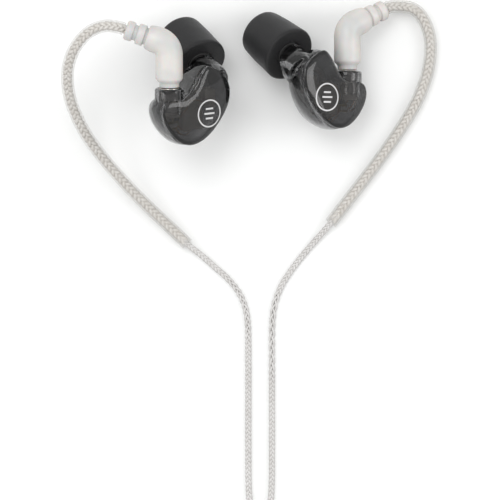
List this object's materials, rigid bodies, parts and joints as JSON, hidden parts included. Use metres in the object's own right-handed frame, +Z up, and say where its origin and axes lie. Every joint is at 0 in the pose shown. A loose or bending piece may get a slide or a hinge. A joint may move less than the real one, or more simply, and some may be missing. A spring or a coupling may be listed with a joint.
{
  "type": "in ear monitors",
  "caption": "In-ear monitors with smoke-clear shells, foam tips, snap-in plugs that swivel, over-ear hooks and a twisted cable coiled to a headphone jack.",
  "frame": {"origin": "on the table, under the middle of the box round the earpieces and ear hooks", "axes": "+X across the pair from the left earpiece to the right, +Y from the cable's end towards the ear hooks' tops, +Z up from the table"},
  "size_m": [0.1034, 0.192, 0.0281],
  "materials": {
    "smoke_plastic": "clear smoke-tinted shell, polished",
    "badge_print": "pale printed ring",
    "nozzle_plastic": "black moulded plastic, satin",
    "filter_mesh": "fine wire mesh",
    "ear_foam": "slow memory foam, near black, soft sheen",
    "tip_core_rubber": "thin rubber sleeve",
    "nickel": "nickel-plated connector",
    "gold": "gold-plated contact",
    "driver_steel": "driver case, brownish steel",
    "circuit_board": "small circuit board",
    "sound_tube_clear": "clear sound tube",
    "frosted_elbow": "frosted translucent moulding",
    "clear_sleeve": "clear shrink sleeve over the cable",
    "plaited_cable": "silvery-white twisted strands in clear insulation",
    "tie_fabric": "hook-and-loop strap"
  },
  "bodies": {
    "harness": {"right_plug_barrel": "nickel", "right_plug_pin": "gold", "right_elbow": "frosted_elbow", "right_strain_relief": "frosted_elbow", "right_hook_core": "plaited_cable", "right_ear_hook": "clear_sleeve", "right_cable": "plaited_cable", "left_plug_barrel": "nickel", "left_plug_pin": "gold", "left_elbow": "frosted_elbow", "left_strain_relief": "frosted_elbow", "left_hook_core": "plaited_cable", "left_ear_hook": "clear_sleeve", "left_cable": "plaited_cable", "y_splitter": "frosted_elbow", "strand_coil": "plaited_cable", "main_coil": "plaited_cable", "main_lead": "plaited_cable", "main_tail": "plaited_cable", "cable_tie": "tie_fabric", "jack_relief": "frosted_elbow", "jack_housing": "frosted_elbow", "jack_sleeve": "gold", "jack_insulator_rear": "nozzle_plastic", "jack_ring": "gold", "jack_insulator_front": "nozzle_plastic", "jack_tip": "gold"},
    "right_snap": {"right_snap_ring": "nickel"},
    "right_earpiece": {"right_shell": "smoke_plastic", "right_face_plate": "smoke_plastic", "right_badge": "badge_print", "right_nozzle": "nozzle_plastic", "right_nozzle_filter": "filter_mesh", "right_socket": "nickel", "right_socket_contact": "gold", "right_low_driver": "driver_steel", "right_high_driver": "driver_steel", "right_crossover_board": "circuit_board", "right_sound_tube": "sound_tube_clear"},
    "right_tip": {"right_foam_tip": "ear_foam", "right_tip_core": "tip_core_rubber"},
    "left_snap": {"left_snap_ring": "nickel"},
    "left_earpiece": {"left_shell": "smoke_plastic", "left_face_plate": "smoke_plastic", "left_badge": "badge_print", "left_nozzle": "nozzle_plastic", "left_nozzle_filter": "filter_mesh", "left_socket": "nickel", "left_socket_contact": "gold", "left_low_driver": "driver_steel", "left_high_driver": "driver_steel", "left_crossover_board": "circuit_board", "left_sound_tube": "sound_tube_clear"},
    "left_tip": {"left_foam_tip": "ear_foam", "left_tip_core": "tip_core_rubber"},
    "chin_bead": {"chin_slider": "frosted_elbow"}
  },
  "joints": [
    {"name": "right_swivel", "type": "hinge", "parent": "harness", "child": "right_snap", "pos_m": [0.0232, 0.0122, 0.00845], "axis": [0, 1, 0], "range_deg": [-120, 150]},
    {"name": "right_unplug", "type": "slide", "parent": "right_snap", "child": "right_earpiece", "axis": [0, -1, 0], "range_m": [0, 0.0042]},
    {"name": "right_tip_pull", "type": "slide", "parent": "right_earpiece", "child": "right_tip", "axis": [-0.5827, 0.4899, -0.6484], "range_m": [0, 0.008]},
    {"name": "left_swivel", "type": "hinge", "parent": "harness", "child": "left_snap", "pos_m": [-0.019, 0.0077, 0.02292], "axis": [0, 0.9816, 0.1908], "range_deg": [-20, 55]},
    {"name": "left_unplug", "type": "slide", "parent": "left_snap", "child": "left_earpiece", "axis": [0, -0.9816, -0.1908], "range_m": [0, 0.0042]},
    {"name": "left_tip_pull", "type": "slide", "parent": "left_earpiece", "child": "left_tip", "axis": [-0.4497, 0.6234, -0.6397], "range_m": [0, 0.008]},
    {"name": "chin_slide", "type": "slide", "parent": "harness", "child": "chin_bead", "axis": [0, 1, 0], "range_m": [0, 0.012]}
  ]
}
